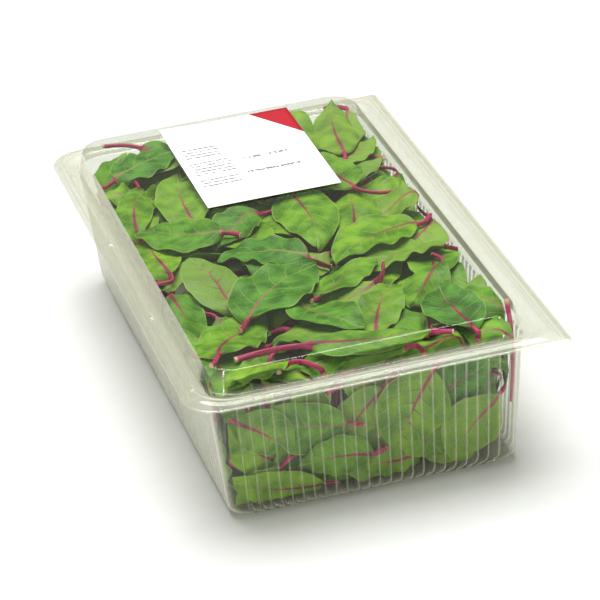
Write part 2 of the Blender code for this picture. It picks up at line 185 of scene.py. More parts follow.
def clear_pet():
    """Thermoformed PET sheet: as clear as glass, with a faint grey-green tint.

    Seen square on it all but vanishes. At a shallow angle it mirrors the light around it and
    its tint adds up, which is what draws the ribs, the flanges and the panel's edges.
    """
    made, tree = new_material("thermoformed_clear_pet")
    calc, ramp, mix, layered = node_tools(tree)
    place = add(tree, "ShaderNodeTexCoord").outputs["Object"]
    # Slack in the formed sheet, about 25 mm from one soft wave to the next.
    slack = bumped(tree, noise(tree, place, 40.0, 1.0), 0.25, 1.2 * MM)
    edge = add(tree, "ShaderNodeLayerWeight", {"Blend": 0.5}).outputs["Facing"]
    tint = mix(calc("POWER", edge, 3.0), linear("#fcfdfb"), linear("#d9ddce"))
    through = add(tree, "ShaderNodeBsdfTransparent", {"Color": tint}).outputs[0]
    gloss = add(
        tree,
        "ShaderNodeBsdfGlossy",
        {"Color": linear("#ffffff"), "Roughness": 0.06, "Normal": slack},
    ).outputs[0]
    # Schlick's rule for a sheet of index about 1.4, the same from both sides.
    face_on, at_grazing = 0.026, 0.9
    tilted = add(tree, "ShaderNodeLayerWeight", {"Blend": 0.5, "Normal": slack})
    grazing = calc("POWER", tilted.outputs["Facing"], 5.0)
    mirror = calc("MULTIPLY_ADD", grazing, at_grazing - face_on, face_on)
    # Scuffs and forming marks scatter a little light, and more of it the shallower the view.
    haze = add(tree, "ShaderNodeBsdfDiffuse", {"Color": linear("#f7f2e4")}).outputs[0]
    panel_haze = ramp(edge, 0.57, 1.0, 0.003, 0.7)
    # The walls were stretched in forming and are cloudier, which draws their ribs as pale lines.
    wall_haze = ramp(edge, 0.17, 1.0, 0.002, 0.52)
    height = add(tree, "ShaderNodeSeparateXYZ", {0: place}).outputs["Z"]
    on_wall = calc("LESS_THAN", height, RIM - 3 * MM)
    scatter = add(
        tree, "ShaderNodeMix", {0: on_wall, 2: panel_haze, 3: wall_haze}, data_type="FLOAT"
    ).outputs[0]
    # The two flanges lie on each other and trap a milky film of air.
    flange_haze = 0.06
    on_flange = calc("COMPARE", height, RIM, 1.6 * MM)
    scatter = calc("MULTIPLY_ADD", on_flange, flange_haze, scatter)
    surface = layered(mirror, layered(scatter, through, haze), gloss)
    add(tree, "ShaderNodeOutputMaterial", {"Surface": surface})
    return made


def fresh_chard():
    """Baby red chard leaf: satin green, with a crimson stem and midrib that fade to the tip.

    Reads two attributes of each leaf's mesh. leaf_place holds the share along the blade
    (negative on the stem), the share across it and the distance from the midrib in metres.
    leaf_look holds the leaf's own shade, its redness and how much of its paler underside shows.
    """
    made, tree = new_material("fresh_red_chard")
    calc, ramp, mix, layered = node_tools(tree)

    place = add(tree, "ShaderNodeAttribute", attribute_name="leaf_place").outputs["Vector"]
    along, across, off_rib = add(tree, "ShaderNodeSeparateXYZ", {0: place}).outputs
    look = add(tree, "ShaderNodeAttribute", attribute_name="leaf_look").outputs["Vector"]
    shade, redness, under = add(tree, "ShaderNodeSeparateXYZ", {0: look}).outputs
    coordinates = add(tree, "ShaderNodeTexCoord").outputs["Object"]

    blotch = noise(tree, coordinates, 90.0, 3.0)
    fine = noise(tree, coordinates, 900.0, 2.0)
    cells = add(
        tree,
        "ShaderNodeTexVoronoi",
        {"Vector": coordinates, "Scale": 480.0, "Randomness": 0.9},
        feature="DISTANCE_TO_EDGE",
    ).outputs["Distance"]

    # Green of the blade, from a blue-green to a yellow-green leaf, blotched at about 11 mm.
    deep = mix(shade, linear("#22610c"), linear("#5c9604"))
    light = mix(shade, linear("#5cac38"), linear("#b0dc22"))
    blade = mix(ramp(blotch, 0.25, 0.75), deep, light)
    blade = mix(calc("MULTIPLY", under, 0.62), blade, linear("#a5c45c"))

    # Side veins leave the midrib in turn on its two sides and sweep towards the tip.
    spread = calc("ABSOLUTE", across)
    sweep = calc("MULTIPLY", calc("POWER", spread, VEIN_CURVE), VEIN_SWEEP)
    wobble = calc("MULTIPLY", calc("SUBTRACT", blotch, 0.5), 0.09)
    start = calc("SUBTRACT", calc("ADD", along, wobble), sweep)
    beside = calc("MULTIPLY", calc("GREATER_THAN", across, 0.0), 0.45)
    phase = calc("FRACT", calc("ADD", calc("MULTIPLY", start, VEINS), beside))
    from_vein = calc("ABSOLUTE", calc("SUBTRACT", phase, 0.5))
    vein_width = ramp(spread, 0.0, 0.9, 0.085, 0.035)
    vein = calc("SUBTRACT", 1.0, ramp(from_vein, 0.0, vein_width))
    vein = calc("MULTIPLY", vein, ramp(spread, 1.0, 0.72))
    vein = calc("MULTIPLY", vein, ramp(along, 0.0, 0.06))
    vein_red = calc("MULTIPLY", ramp(redness, 0.5, 1.0), ramp(spread, 0.8, 0.1))
    vein_colour = mix(vein_red, linear("#b5d67c"), linear("#a02c54"))
    vein_strength = calc("MULTIPLY", vein, ramp(redness, 0.3, 1.0, 0.4, 0.85))
    blade = mix(vein_strength, blade, vein_colour)
    # A fine pale net between the veins, about 2 mm to a mesh.
    blade = mix(ramp(cells, 0.10, 0.0, 0.0, 0.22), blade, linear("#8fbf5e"))

    # A thin pale margin, under a millimetre wide.
    margin = ramp(spread, 0.945, 0.985)
    blade = mix(calc("MULTIPLY", margin, 0.6), blade, linear("#b4d05c"))

    # The midrib narrows from 1.7 mm across at the base to a hairline near the tip.
    rib_half = ramp(along, 0.0, 0.8, 0.85 * MM, 0.2 * MM)
    rib_edge = calc("MULTIPLY", rib_half, 1.6)
    rib = calc("SUBTRACT", 1.0, ramp(calc("ABSOLUTE", off_rib), rib_half, rib_edge))
    rib_red = calc("MULTIPLY", ramp(redness, 0.0, 0.7), ramp(along, 1.0, 0.35))
    crimson = mix(ramp(blotch, 0.35, 0.65), linear("#8c1846"), linear("#bb3066"))
    crimson = mix(calc("MULTIPLY", under, 0.35), crimson, linear("#e2859a"))
    rib_colour = mix(rib_red, linear("#a8c86c"), crimson)
    surface = mix(calc("MULTIPLY", rib, 0.95), blade, rib_colour)

    # The stem is crimson all round and streaked lengthwise, with a pale cut end.
    stretched = add(
        tree, "ShaderNodeVectorMath", {0: place, 1: (3.0, 6.0, 900.0)}, operation="MULTIPLY"
    ).outputs[0]
    streak = noise(tree, stretched, 1.0, 2.0)
    stem_colour = mix(ramp(streak, 0.3, 0.7), linear("#94164a"), linear("#c8406f"))
    pale = calc("MULTIPLY", ramp(redness, 0.3, 0.0), 0.5)
    stem_colour = mix(pale, stem_colour, linear("#c9a878"))
    stem_colour = mix(ramp(along, -0.955, -0.995), stem_colour, linear("#efc0a4"))
    surface = mix(ramp(along, 0.03, -0.02), surface, stem_colour)

    relief = calc("ADD", calc("MULTIPLY", vein, -0.5), calc("MULTIPLY", fine, 0.35))
    relief = calc("ADD", relief, calc("MULTIPLY", ramp(cells, 0.0, 0.3), 0.5))
    pores = bumped(tree, relief, 0.5, 0.3 * MM)
    leaf = add(
        tree,
        "ShaderNodeBsdfPrincipled",
        {
            "Base Color": surface,
            "Roughness": ramp(blotch, 0.3, 0.7, 0.36, 0.5),
            "IOR": 1.45,
            "Specular IOR Level": 0.35,
            "Normal": pores,
        },
    ).outputs[0]
    # The blade, but not the stem, lets a share of the light through from behind.
    glow = add(tree, "ShaderNodeBsdfTranslucent", {"Color": surface, "Normal": pores}).outputs[0]
    thin = ramp(along, -0.01, 0.04, 0.0, 0.3)
    add(tree, "ShaderNodeOutputMaterial", {"Surface": layered(thin, leaf, glow)})
    return made


def coated_label_paper(low, high):
    """Smooth coated label paper: white and half matt, printed with a plain red corner and with
    rows of short grey dashes, which read as small print from a step away."""
    made, tree = new_material("coated_label_paper")
    calc, _, mix, _ = node_tools(tree)
    place = add(tree, "ShaderNodeTexCoord")
    coordinates = place.outputs["Object"]
    x, y, _ = add(tree, "ShaderNodeSeparateXYZ", {0: coordinates}).outputs
    faces_up = add(tree, "ShaderNodeSeparateXYZ", {0: place.outputs["Normal"]}).outputs["Z"]

    def within(value, least, most):
        return calc("MULTIPLY", calc("GREATER_THAN", value, least), calc("LESS_THAN", value, most))

    # The red corner cuts 24 mm off the far edge and 40 mm off the hinge-side edge.
    from_far = calc("DIVIDE", calc("SUBTRACT", high.y, y), 40 * MM)
    from_side = calc("DIVIDE", calc("SUBTRACT", high.x, x), 24 * MM)
    red = calc("LESS_THAN", calc("ADD", from_far, from_side), 1.0)
    # Only the outer face is printed. The gummed side, seen through an open lid, is plain.
    printed = calc("GREATER_THAN", faces_up, 0.0)
    red = calc("MULTIPLY", red, printed)

    # Dashes: rows of print, each broken into words by noise. A block is its left, right, near
    # and far edge in millimetres from the far left corner, its rows' pitch and their share of it.
    blocks = (
        (5, 27, 34, 50, 4.0, 0.4),
        (5, 29, 55, 75, 4.0, 0.4),
        (5, 28, 80, 92, 4.0, 0.4),
        (36, 64, 58, 64, 6.0, 0.45),
        (34, 68, 78, 84, 6.0, 0.45),
    )
    ink = None
    for left, right, near, far, pitch, share in blocks:
        row = calc("FRACT", calc("DIVIDE", calc("SUBTRACT", high.y - near * MM, y), pitch * MM))
        lines = within(row, 0.5 - share / 2, 0.5 + share / 2)
        columns = within(x, low.x + left * MM, low.x + right * MM)
        area = calc("MULTIPLY", columns, within(y, high.y - far * MM, high.y - near * MM))
        block = calc("MULTIPLY", lines, area)
        ink = calc("MAXIMUM", ink, block) if ink else block
    stretched = add(
        tree, "ShaderNodeVectorMath", {0: coordinates, 1: (520.0, 330.0, 1.0)}, operation="MULTIPLY"
    ).outputs[0]
    words = calc("GREATER_THAN", noise(tree, stretched, 1.0, 1.0), 0.42)
    ink = calc("MULTIPLY", calc("MULTIPLY", ink, words), printed)

    fibre = noise(tree, coordinates, 700.0, 3.0)
    paper = mix(fibre, linear("#f4f4f2"), linear("#fbfbfa"))
    inked = mix(calc("MULTIPLY", ink, 0.85), paper, linear("#3e3e42"))
    shader = add(
        tree,
        "ShaderNodeBsdfPrincipled",
        {
            "Base Color": mix(red, inked, linear("#a80c22")),
            "Roughness": 0.42,
            "IOR": 1.5,
            "Normal": bumped(tree, fibre, 0.15, 0.05 * MM),
        },
    )
    add(tree, "ShaderNodeOutputMaterial", {"Surface": shader.outputs[0]})
    return made


# The clear pack


def outline(low, high, radii, corner_steps, side_steps):
    """Points round a rectangle with rounded corners, their outward ways, and how far along each
    straight side they lie in ribs, zero at its ends and in the corners."""
    corners = (
        (high[0], low[1], radii[1], -90),
        (high[0], high[1], radii[1], 0),
        (low[0], high[1], radii[0], 90),
        (low[0], low[1], radii[0], 180),
    )
    middle = (low[0] + high[0]) / 2, (low[1] + high[1]) / 2
    points, ways, shares = [], [], []
    for index, (x, y, radius, start) in enumerate(corners):
        centre = np.array((x, y)) - radius * np.sign((x - middle[0], y - middle[1]))
        for step in range(corner_steps + 1):
            angle = math.radians(start + 90 * step / corner_steps)
            way = np.array((math.cos(angle), math.sin(angle)))
            points.append(centre + radius * way)
            ways.append(way)
            shares.append(0.0)
        after = corners[(index + 1) % 4]
        turn = np.sign((after[0] - middle[0], after[1] - middle[1]))
        angle = math.radians(start + 90)
        way = np.array((math.cos(angle), math.sin(angle)))
        end = np.array(after[:2]) - after[2] * turn + after[2] * way
        begin = points[-1]
        steps = side_steps[(index + 1) % 2]
        for step in range(1, steps):
            points.append(begin + (end - begin) * step / steps)
            ways.append(way)
            shares.append(step / steps)
    return np.array(points), np.array(ways), np.array(shares)


def grid_faces(rows, columns):
    """The quads between the points of a grid, which are given row by row."""
    grid = np.arange(rows * columns).reshape(rows, columns)
    corners = grid[:-1, :-1], grid[1:, :-1], grid[1:, 1:], grid[:-1, 1:]
    return np.stack([corner.ravel() for corner in corners], 1)


def box_inset(opening, hinge, end):
    """The pack's outline in plan, drawn in from its opening, hinge and end edges."""
    low = (TRAY_LOW.x + opening, TRAY_LOW.y + end)
    high = (TRAY_HIGH.x - hinge, TRAY_HIGH.y - end)
    return low, high


def loft(name, rings, surface):
    """A sheet through closed rings of as many points each, given as 3D points."""
    count = len(rings[0])
    faces = []
    for first in range(0, (len(rings) - 1) * count, count):
        for i in range(count):
            j = (i + 1) % count
            faces.append((first + i, first + j, first + count + j, first + count + i))
    faces.append(tuple(range(count - 1, -1, -1)))
    return mesh_object(name, np.concatenate(rings), faces, surface)


def thicken(piece, thickness, offset):
    """Gives a sheet its real thickness, measured to one side of it."""
    solid = piece.modifiers.new("sheet", "SOLIDIFY")
    solid.thickness = thickness
    solid.offset = offset
    solid.use_even_offset = True
    bpy.context.view_layer.objects.active = piece
    with bpy.context.temp_override(object=piece, active_object=piece):
        bpy.ops.object.modifier_apply(modifier=solid.name)
    return piece


def lifted(plan, height):
    """Points in plan given a height, one for all or one for each."""
    return np.column_stack((plan, np.full(len(plan), height) if np.isscalar(height) else height))


def panel_slack(x, y):
    """How far the lid's panel, and the label on it, stand off true flat."""
    return 0.12 * MM * np.sin(y / (31 * MM)) * np.cos(x / (23 * MM))


def make_tray(surface):
    low, high = box_inset(FLANGE_OPENING, FLANGE_HINGE, FLANGE_END)
    ribs = [round((high[k] - low[k] - 2 * WALL_RADIUS_RIM) / RIB_PITCH) for k in (0, 1)]
    steps = [count * RIB_SAMPLES for count in ribs]

    def wall(height, inwards, radius, rib):
        lean = DRAFT * (1 - height / RIM) + inwards
        corners = box_inset(FLANGE_OPENING + lean, FLANGE_HINGE + lean, FLANGE_END + lean)
        plan, ways, shares = outline(*corners, (radius, radius), WALL_CORNER_STEPS, steps)
        sides = np.where(np.abs(ways[:, 1]) > 0.5, ribs[0], ribs[1])
        wave = (0.5 - 0.5 * np.cos(2 * math.pi * shares * sides)) ** RIB_SHARPNESS
        return plan - ways * (wave * rib * RIB_DEPTH)[:, None]

    rings = []
    # The flat foot closes in on its middle in steps, so that it has no slivers.
    foot_reach = 75 * MM
    for share in (0.15, 0.45, 0.75, 0.93):
        inwards = FOOT_INSET + (1 - share) * foot_reach
        rings.append(lifted(wall(0, inwards, (WALL_RADIUS_FOOT + FOOT_INSET) * share, 0), 0.0))
    for angle in np.linspace(0, math.pi / 2, 6):
        inwards = FOOT_INSET * (1 - math.sin(angle))
        height = FOOT_RISE * (1 - math.cos(angle))
        rib = (0.55 + 0.45 * math.sin(angle)) * (angle > 0)
        rings.append(lifted(wall(height, inwards, WALL_RADIUS_FOOT + inwards, rib), height))
    top_of_ribs = RIM - RIB_STOP
    for share in np.linspace(0.12, 1, 6):
        height = FOOT_RISE + (top_of_ribs - FOOT_RISE) * share
        radius = WALL_RADIUS_FOOT + (WALL_RADIUS_RIM - WALL_RADIUS_FOOT) * share
        rings.append(lifted(wall(height, 0, radius, 1.0), height))
    for share, rib in ((0.25, 0.75), (0.5, 0.25), (0.7, 0.0)):
        height = top_of_ribs + (RIM - SHEET - top_of_ribs) * share
        rings.append(lifted(wall(height, 0, WALL_RADIUS_RIM, rib), height))
    root = wall(RIM, 0, WALL_RADIUS_RIM, 0)
    edge = box_inset(*3 * [TRAY_EDGE_INSET])
    flange, _, _ = outline(*edge, (FLANGE_RADIUS, HINGE_CORNER), WALL_CORNER_STEPS, steps)
    under = RIM - SHEET
    # Root fillet, flat flange and a lip turned down.
    for share, drop in ((0.03, 0.5), (0.1, 0.1), (0.5, 0.0), (0.9, 0.0), (0.97, 0.12), (1.0, 0.5)):
        rings.append(lifted(root + (flange - root) * share, under - drop * MM))
    tray = loft("tray_shell", rings, surface)
    return thicken(tray, SHEET, -1.0)


def make_lid(surface):
    side_steps = (48, 96)
    corner_steps = 14

    def panel(inwards):
        corners = box_inset(
            PANEL_INSET_OPENING + inwards, PANEL_INSET_HINGE + inwards, PANEL_INSET_END + inwards
        )
        radius = max(PANEL_RADIUS - inwards, 2 * MM)
        return outline(*corners, (radius, radius), corner_steps, side_steps)[0]

    edge = box_inset(*3 * [LID_EDGE_INSET])
    flange, _, _ = outline(*edge, (FLANGE_RADIUS, HINGE_CORNER), corner_steps, side_steps)
    under = RIM + GAP
    crown = TOP - CAD_SHEET
    rings = []
    # The panel sinks a hair below its rounded edge, and all but its outer strip is a little slack.
    for inwards in (70, 50, 32, 18, 9, 5.5):
        plan = panel(inwards * MM)
        slack = panel_slack(plan[:, 0], plan[:, 1]) * (inwards > 6)
        rings.append(lifted(plan, crown - 0.15 * MM + slack))
    for angle in np.linspace(0.25, math.pi / 2 - 0.15, 5):
        inwards = SHOULDER_DRAFT + SHOULDER_ROUND * (1 - math.sin(angle))
        rings.append(lifted(panel(inwards), crown - SHOULDER_ROUND * (1 - math.cos(angle))))
    foot = panel(0)
    shoulder_foot = crown - SHOULDER_ROUND
    for share in (0.25, 0.55, 0.85, 0.95):
        height = shoulder_foot + (under + 0.4 * MM - shoulder_foot) * share
        rings.append(lifted(panel(SHOULDER_DRAFT * (1 - share)), height))
    # Foot fillet, a shallow bead along the middle of the flange, and a lip turned down.
    profile = (
        (0.03, 0.12), (0.08, 0.0), (0.3, 0.0), (0.36, 0.35), (0.42, 0.9), (0.5, 1.1), (0.58, 0.9),
        (0.64, 0.35), (0.7, 0.0), (0.9, 0.0), (0.96, -0.1), (1.0, -0.5),
    )
    for share, rise in profile:
        rings.append(lifted(foot + (flange - foot) * share, under + rise * MM))
    lid = loft("lid_shell", rings, surface)
    lid.data.flip_normals()
    return thicken(lid, SHEET, -1.0)


def bead(path, half_width, height):
    """A half-round bead along a path on a flat face: its points and faces."""
    path = np.array(path)
    way = np.gradient(path, axis=0)
    way /= np.linalg.norm(way, axis=1)[:, None]
    side = np.stack((-way[:, 1], way[:, 0], 0 * way[:, 0]), 1)
    turn = np.linspace(-math.pi / 2, math.pi / 2, 9)
    rise = height * np.cos(turn)
    # The bead's ends run down into the face.
    fade = np.clip(np.arange(len(path)) / 2, 0, 1) * np.clip(np.arange(len(path))[::-1] / 2, 0, 1)
    points = path[:, None] + half_width * np.sin(turn)[None, :, None] * side[:, None]
    points[..., 2] += rise[None] * fade[:, None]
    return points.reshape(-1, 3), grid_faces(*points.shape[:2])[:, ::-1]


def make_flange_beads(surface):
    """Pressed beads on the lid's flange: along its edges, a catch at the front, stack lugs."""
    top = RIM + GAP + SHEET
    low, high = TRAY_LOW, TRAY_HIGH
    along = np.linspace(low.y + 4 * MM, high.y - 4 * MM, 60)
    lines = (high.x - 2.6 * MM, high.x - 5.4 * MM, low.x + 3 * MM, low.x + 6.2 * MM)
    beads = [bead([(x, y, top) for y in along], 0.5 * MM, 0.6 * MM) for x in lines[:2]]
    inner = along[np.abs(along) < high.y - FLANGE_RADIUS]
    beads += [bead([(x, y, top) for y in inner], 0.6 * MM, 0.7 * MM) for x in lines[2:]]
    level = np.linspace(low.x + FLANGE_RADIUS, high.x - 12 * MM, 40)
    for y in (low.y + 2.4 * MM, high.y - 2.4 * MM):
        beads.append(bead([(x, y, top) for x in level], 0.5 * MM, 0.6 * MM))
    front = low.y + 6 * MM
    half_long, half_short = 4 * MM, 1.7 * MM
    catch = []
    for turn in np.linspace(0, 2 * math.pi, 33):
        shift = half_long if math.cos(turn) >= 0 else -half_long
        x = -75 * MM + shift + half_short * math.cos(turn)
        catch.append((x, front + half_short * math.sin(turn), top))
    beads.append(bead(catch, 0.6 * MM, 0.7 * MM))
    line = [(x * MM, front, top) for x in np.linspace(-67, -38, 20)]
    beads.append(bead(line, 0.7 * MM, 0.6 * MM))
    for x, y in ((-97, -150), (-97, -60), (-97, 40), (-97, 140), (-60, 173), (50, 173)):
        lug = [(x * MM, y * MM + step * MM, top) for step in np.linspace(-4, 4, 9)]
        beads.append(bead(lug, 1.5 * MM, 1.0 * MM))
    starts = np.cumsum([0] + [len(points) for points, _ in beads])
    points = np.concatenate([points for points, _ in beads])
    faces = np.concatenate([faces + start for (_, faces), start in zip(beads, starts)])
    return mesh_object("lid_flange_beads", points, faces.tolist(), surface)


def make_hinge(surface):
    """The fold of the sheet between tray and lid, a half round just outside both flanges."""
    half = LENGTH / 2 - 2 * MM
    edge = TRAY_HIGH.x - 0.4 * MM
    rows = np.linspace(-half, half, 25)
    profile = [(edge - 3 * MM, RIM - SHEET / 2)]
    for angle in np.linspace(-90, 90, 9):
        reach = 1.1 * MM * math.cos(math.radians(angle))
        rise = (GAP + SHEET) / 2 * math.sin(math.radians(angle))
        profile.append((edge + reach, HINGE.z + rise))
    profile.append((edge - 3 * MM, RIM + GAP + SHEET / 2))
    points = [(x, y, z) for y in rows for x, z in profile]
    faces = grid_faces(len(rows), len(profile))[:, ::-1]
    return mesh_object("living_hinge", points, faces.tolist(), surface)


# Label


LABEL_PARTS = (24, 32)
LABEL_SHEET = 0.12 * MM
LABEL_LIFT = 0.9 * MM


def make_label(surface):
    """A paper label that follows the panel's slack. Its far corner on the opening side lifts."""
    low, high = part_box("label")
    across, along = LABEL_PARTS
    v, u = np.meshgrid(np.linspace(0, 1, along + 1), np.linspace(0, 1, across + 1), indexing="ij")
    x, y = low.x + (high.x - low.x) * u, low.y + (high.y - low.y) * v
    # The lift starts this far along the way to the corner, counted over both edges.
    lift_start = 1.6
    lift = LABEL_LIFT * (np.clip(1 - u + v - lift_start, 0, None) / (2 - lift_start)) ** 2
    points = np.stack((x, y, low.z + panel_slack(x, y) + lift), -1).reshape(-1, 3)
    faces = grid_faces(along + 1, across + 1)[:, ::-1].tolist()
    return thicken(mesh_object("paper_label", points, faces, surface), LABEL_SHEET, 1.0)


# Leaves


BLADE = 0.35 * MM
STEM_HALF_WIDTH = 1.2 * MM
LEAF_GAP = 0.35 * MM
STEM_STATIONS = 8
BLADE_STATIONS = 30
LEAF_COLUMNS = 17
FIELD_STEP = 1.0 * MM
SAMPLES_PER_CELL = 3
SETTLE_TURNS = 40
SHARP_EDGE = math.radians(65)

# A loose leaf takes the emptiest of some random places, away from the last ones laid.
PLACE_TRIES = 14
LAST_LAID = 40


class Face:
    """A clear side of the pack, and how deep the space behind it is already taken.

    origin is the middle of the side's lower edge, across and up lie in it, and inward is the way
    depth is measured. low and high are the least and most that a leaf reaches across and up, and
    narrowing is how much they close in with depth.
    """

    def __init__(self, origin, across, up, inward, limits, taken, narrowing=0.0):
        self.origin, self.across, self.up, self.inward = map(
            np.array, (origin, across, up, inward)
        )
        self.low, self.high = np.array(limits[0]), np.array(limits[1])
        cells = np.ceil((self.high - self.low) / FIELD_STEP).astype(int) + 3
        grid = np.stack(np.meshgrid(np.arange(cells[0]), np.arange(cells[1]), indexing="ij"), -1)
        self.depth = taken(self.low + (grid - 1) * FIELD_STEP)
        self.narrowing = narrowing
        self.inside_out = np.dot(np.cross(self.across, self.up), self.inward) > 0

    def cells(self, plan):
        found = np.rint((plan - self.low) / FIELD_STEP).astype(int) + 1
        return np.clip(found, 1, np.array(self.depth.shape) - 2)

    def needed(self, plan):
        index = self.cells(plan)
        return self.depth[index[..., 0], index[..., 1]]

    def take(self, plan, depth):
        index = self.cells(plan)
        for i in (-1, 0, 1):
            for j in (-1, 0, 1):
                np.maximum.at(self.depth, (index[..., 0] + i, index[..., 1] + j), depth)

    def place(self, plan, depth):
        drawn = self.narrowing * depth[..., None]
        plan = np.clip(plan, self.low + drawn, self.high - drawn)
        return (
            self.origin
            + plan[..., :1] * self.across
            + plan[..., 1:] * self.up
            + depth[..., None] * self.inward
        )


def corner_depth(distance, radius):
    """How far a rounded corner stands in at a distance from its side, 0 past the radius."""
    short = np.clip(radius - distance, 0, radius)
    return radius - np.sqrt(radius**2 - short**2)


def top_face():
    """The underside of the lid's panel."""
    panel = box_inset(PANEL_INSET_OPENING, PANEL_INSET_HINGE, PANEL_INSET_END)
    low, high = map(np.array, panel)

    def taken(plan):
        corner = np.minimum(plan - low, high - plan)
        diagonal = PANEL_RADIUS - np.linalg.norm(np.clip(PANEL_RADIUS - corner, 0, None), axis=-1)
        inset = corner.min(-1)
        inset = np.where(corner.max(-1) < PANEL_RADIUS, np.minimum(inset, diagonal), inset)
        return np.clip(SHOULDER_DRAFT + SHOULDER_ROUND + 1 * MM - inset, 0, None) * 3

    limits = (low + 4 * MM, high - 4 * MM)
    origin = (0, 0, TOP - CAD_SHEET - GAP)
    return Face(origin, (1.0, 0, 0), (0, 1.0, 0), (0, 0, -1.0), limits, taken, narrowing=0.16)


def wall_face(direction):
    """The inside of one tray wall. direction is its outward way in plan."""
    low, high = box_inset(FLANGE_OPENING + DRAFT, FLANGE_HINGE + DRAFT, FLANGE_END + DRAFT)
    lining = CAD_SHEET + RIB_DEPTH + GAP
    half = (np.array(high) - low) / 2 - lining
    inside, half_across = (half[0], half[1]) if direction[0] else (half[1], half[0])
    edge = SIDE_BAND if direction[0] else 2 * MM
    limits = ((edge - half_across, 4 * MM), (half_across - edge, RIM - 6 * MM))
    outward = np.array((*direction, 0.0))
    origin = np.array(((low[0] + high[0]) / 2, (low[1] + high[1]) / 2, 0.0)) + inside * outward
    slope = math.atan2(DRAFT, RIM)
    up = math.cos(slope) * np.array((0, 0, 1.0)) + math.sin(slope) * outward
    across = np.array((-direction[1], direction[0], 0.0))
    inward = np.cross(up, across)
    inward *= -np.sign(np.dot(inward, outward))

    def taken(plan):
        side = corner_depth(half_across - np.abs(plan[..., 0]), WALL_RADIUS_RIM)
        return np.maximum(side, corner_depth(plan[..., 1], FOOT_RISE + FOOT_INSET))

    return Face(origin, across, up, inward, limits, taken)


def floor_face():
    """The tray's floor."""
    inset = [edge + DRAFT + SIDE_BAND for edge in (FLANGE_OPENING, FLANGE_HINGE, FLANGE_END)]
    origin, limits = (0, 0, CAD_SHEET + GAP), box_inset(*inset)
    return Face(
        origin, (1.0, 0, 0), (0, 1.0, 0), (0, 0, 1.0), limits, lambda plan: 0 * plan[..., 0]
    )


def denser(grid):
    """The same surface read at more points: straight between the grid's own."""
    for axis in (0, 1):
        count = grid.shape[axis]
        at = np.linspace(0, count - 1, (count - 1) * SAMPLES_PER_CELL + 1)
        low = np.minimum(at.astype(int), count - 2)
        share = (at - low).reshape([-1 if k == axis else 1 for k in range(grid.ndim)])
        grid = np.take(grid, low, axis) * (1 - share) + np.take(grid, low + 1, axis) * share
    return grid


def smooth(grid):
    """The grid with each value drawn towards its neighbours."""
    padded = np.pad(grid, 1, mode="edge")
    rows = padded[:-2] + 2 * padded[1:-1] + padded[2:]
    return (rows[:, :-2] + 2 * rows[:, 1:-1] + rows[:, 2:]) / 16


def settle(face, plan, depth):
    """Pushes a leaf inwards, in one smooth bend, until it clears all that is already laid."""
    need = face.needed(denser(plan)) + LEAF_GAP
    step = SAMPLES_PER_CELL
    rows, columns = depth.shape
    padded = np.pad(need, step, mode="edge")
    most = np.full(depth.shape, -1.0)
    for i in range(2 * step + 1):
        for j in range(2 * step + 1):
            window = padded[i :: step, j :: step][:rows, :columns]
            most = np.maximum(most, window)
    push = np.maximum(most - depth, 0)
    for _ in range(SETTLE_TURNS):
        push = np.maximum(smooth(push), most - depth)
    return depth + push


class Row:
    """One leaf as the tables give it, in metres and radians."""

    def __init__(self, values):
        self.base, self.tip = np.array(values[0:2]) * MM, np.array(values[2:4]) * MM
        self.width, self.stem = values[4] * MM, values[5] * MM
        self.turn, self.bow = math.radians(values[6]), values[7] * MM
        self.look = values[8:11]


def leaf_plan(row, face, form):
    """The flat outline: a grid of points along the stem and blade, and across them.

    Gives the points held inside the face's limits, how far each was drawn in, the share along
    (negative on the stem), the share across and the distance from the midrib.
    """
    turns = np.linspace(0, 1, BLADE_STATIONS)
    along = 0.5 * turns + 0.25 * (1 - np.cos(math.pi * turns))
    line = row.tip - row.base
    length = np.linalg.norm(line)
    forward = line / length
    side = np.array((-forward[1], forward[0]))
    spine = row.base + along[:, None] * line + (4 * along * (1 - along))[:, None] * row.bow * side
    cos, sin = math.cos(row.turn), math.sin(row.turn)
    back = -np.array((cos * forward[0] - sin * forward[1], sin * forward[0] + cos * forward[1]))
    start = forward * length + 4 * row.bow * side
    start /= np.linalg.norm(start)
    share = np.linspace(1, 0, STEM_STATIONS + 1)[:-1, None]
    bend, end = row.base - 0.45 * row.stem * start, row.base + row.stem * back
    stem = (1 - share) ** 2 * row.base + 2 * share * (1 - share) * bend + share**2 * end
    spine = np.vstack((stem, spine))
    tangent = np.gradient(spine, axis=0)
    tangent /= np.linalg.norm(tangent, axis=1)[:, None]
    normal = np.stack((-tangent[:, 1], tangent[:, 0]), 1)
    along = np.concatenate((-share[:, 0], along))
    widest = np.sin(math.pi * np.clip(along, 0, 1) ** form["middle"]) ** form["fullness"]
    stem_half = STEM_HALF_WIDTH * form["stem"] * (1 + 0.25 * np.clip(-along, 0, 1) ** 2)
    least = np.where(along < 0, stem_half, stem_half * (1 - along))
    half = np.maximum(row.width / 2 * widest, np.maximum(least, 0.3 * MM))
    line_up = np.linspace(-1, 1, LEAF_COLUMNS)
    across = np.sign(line_up) * np.abs(line_up) ** 1.3
    # The two halves of a blade are never quite alike.
    lopsided = 1 + form["lopsided"] * across * np.clip(along, 0, 1)[:, None]
    off = across[None] * half[:, None] * np.where(along[:, None] < 0, 1.0, lopsided)
    plan = spine[:, None] + off[..., None] * normal[:, None]
    held = np.clip(plan, face.low, face.high)
    return held, np.linalg.norm(plan - held, axis=-1), along, across, off


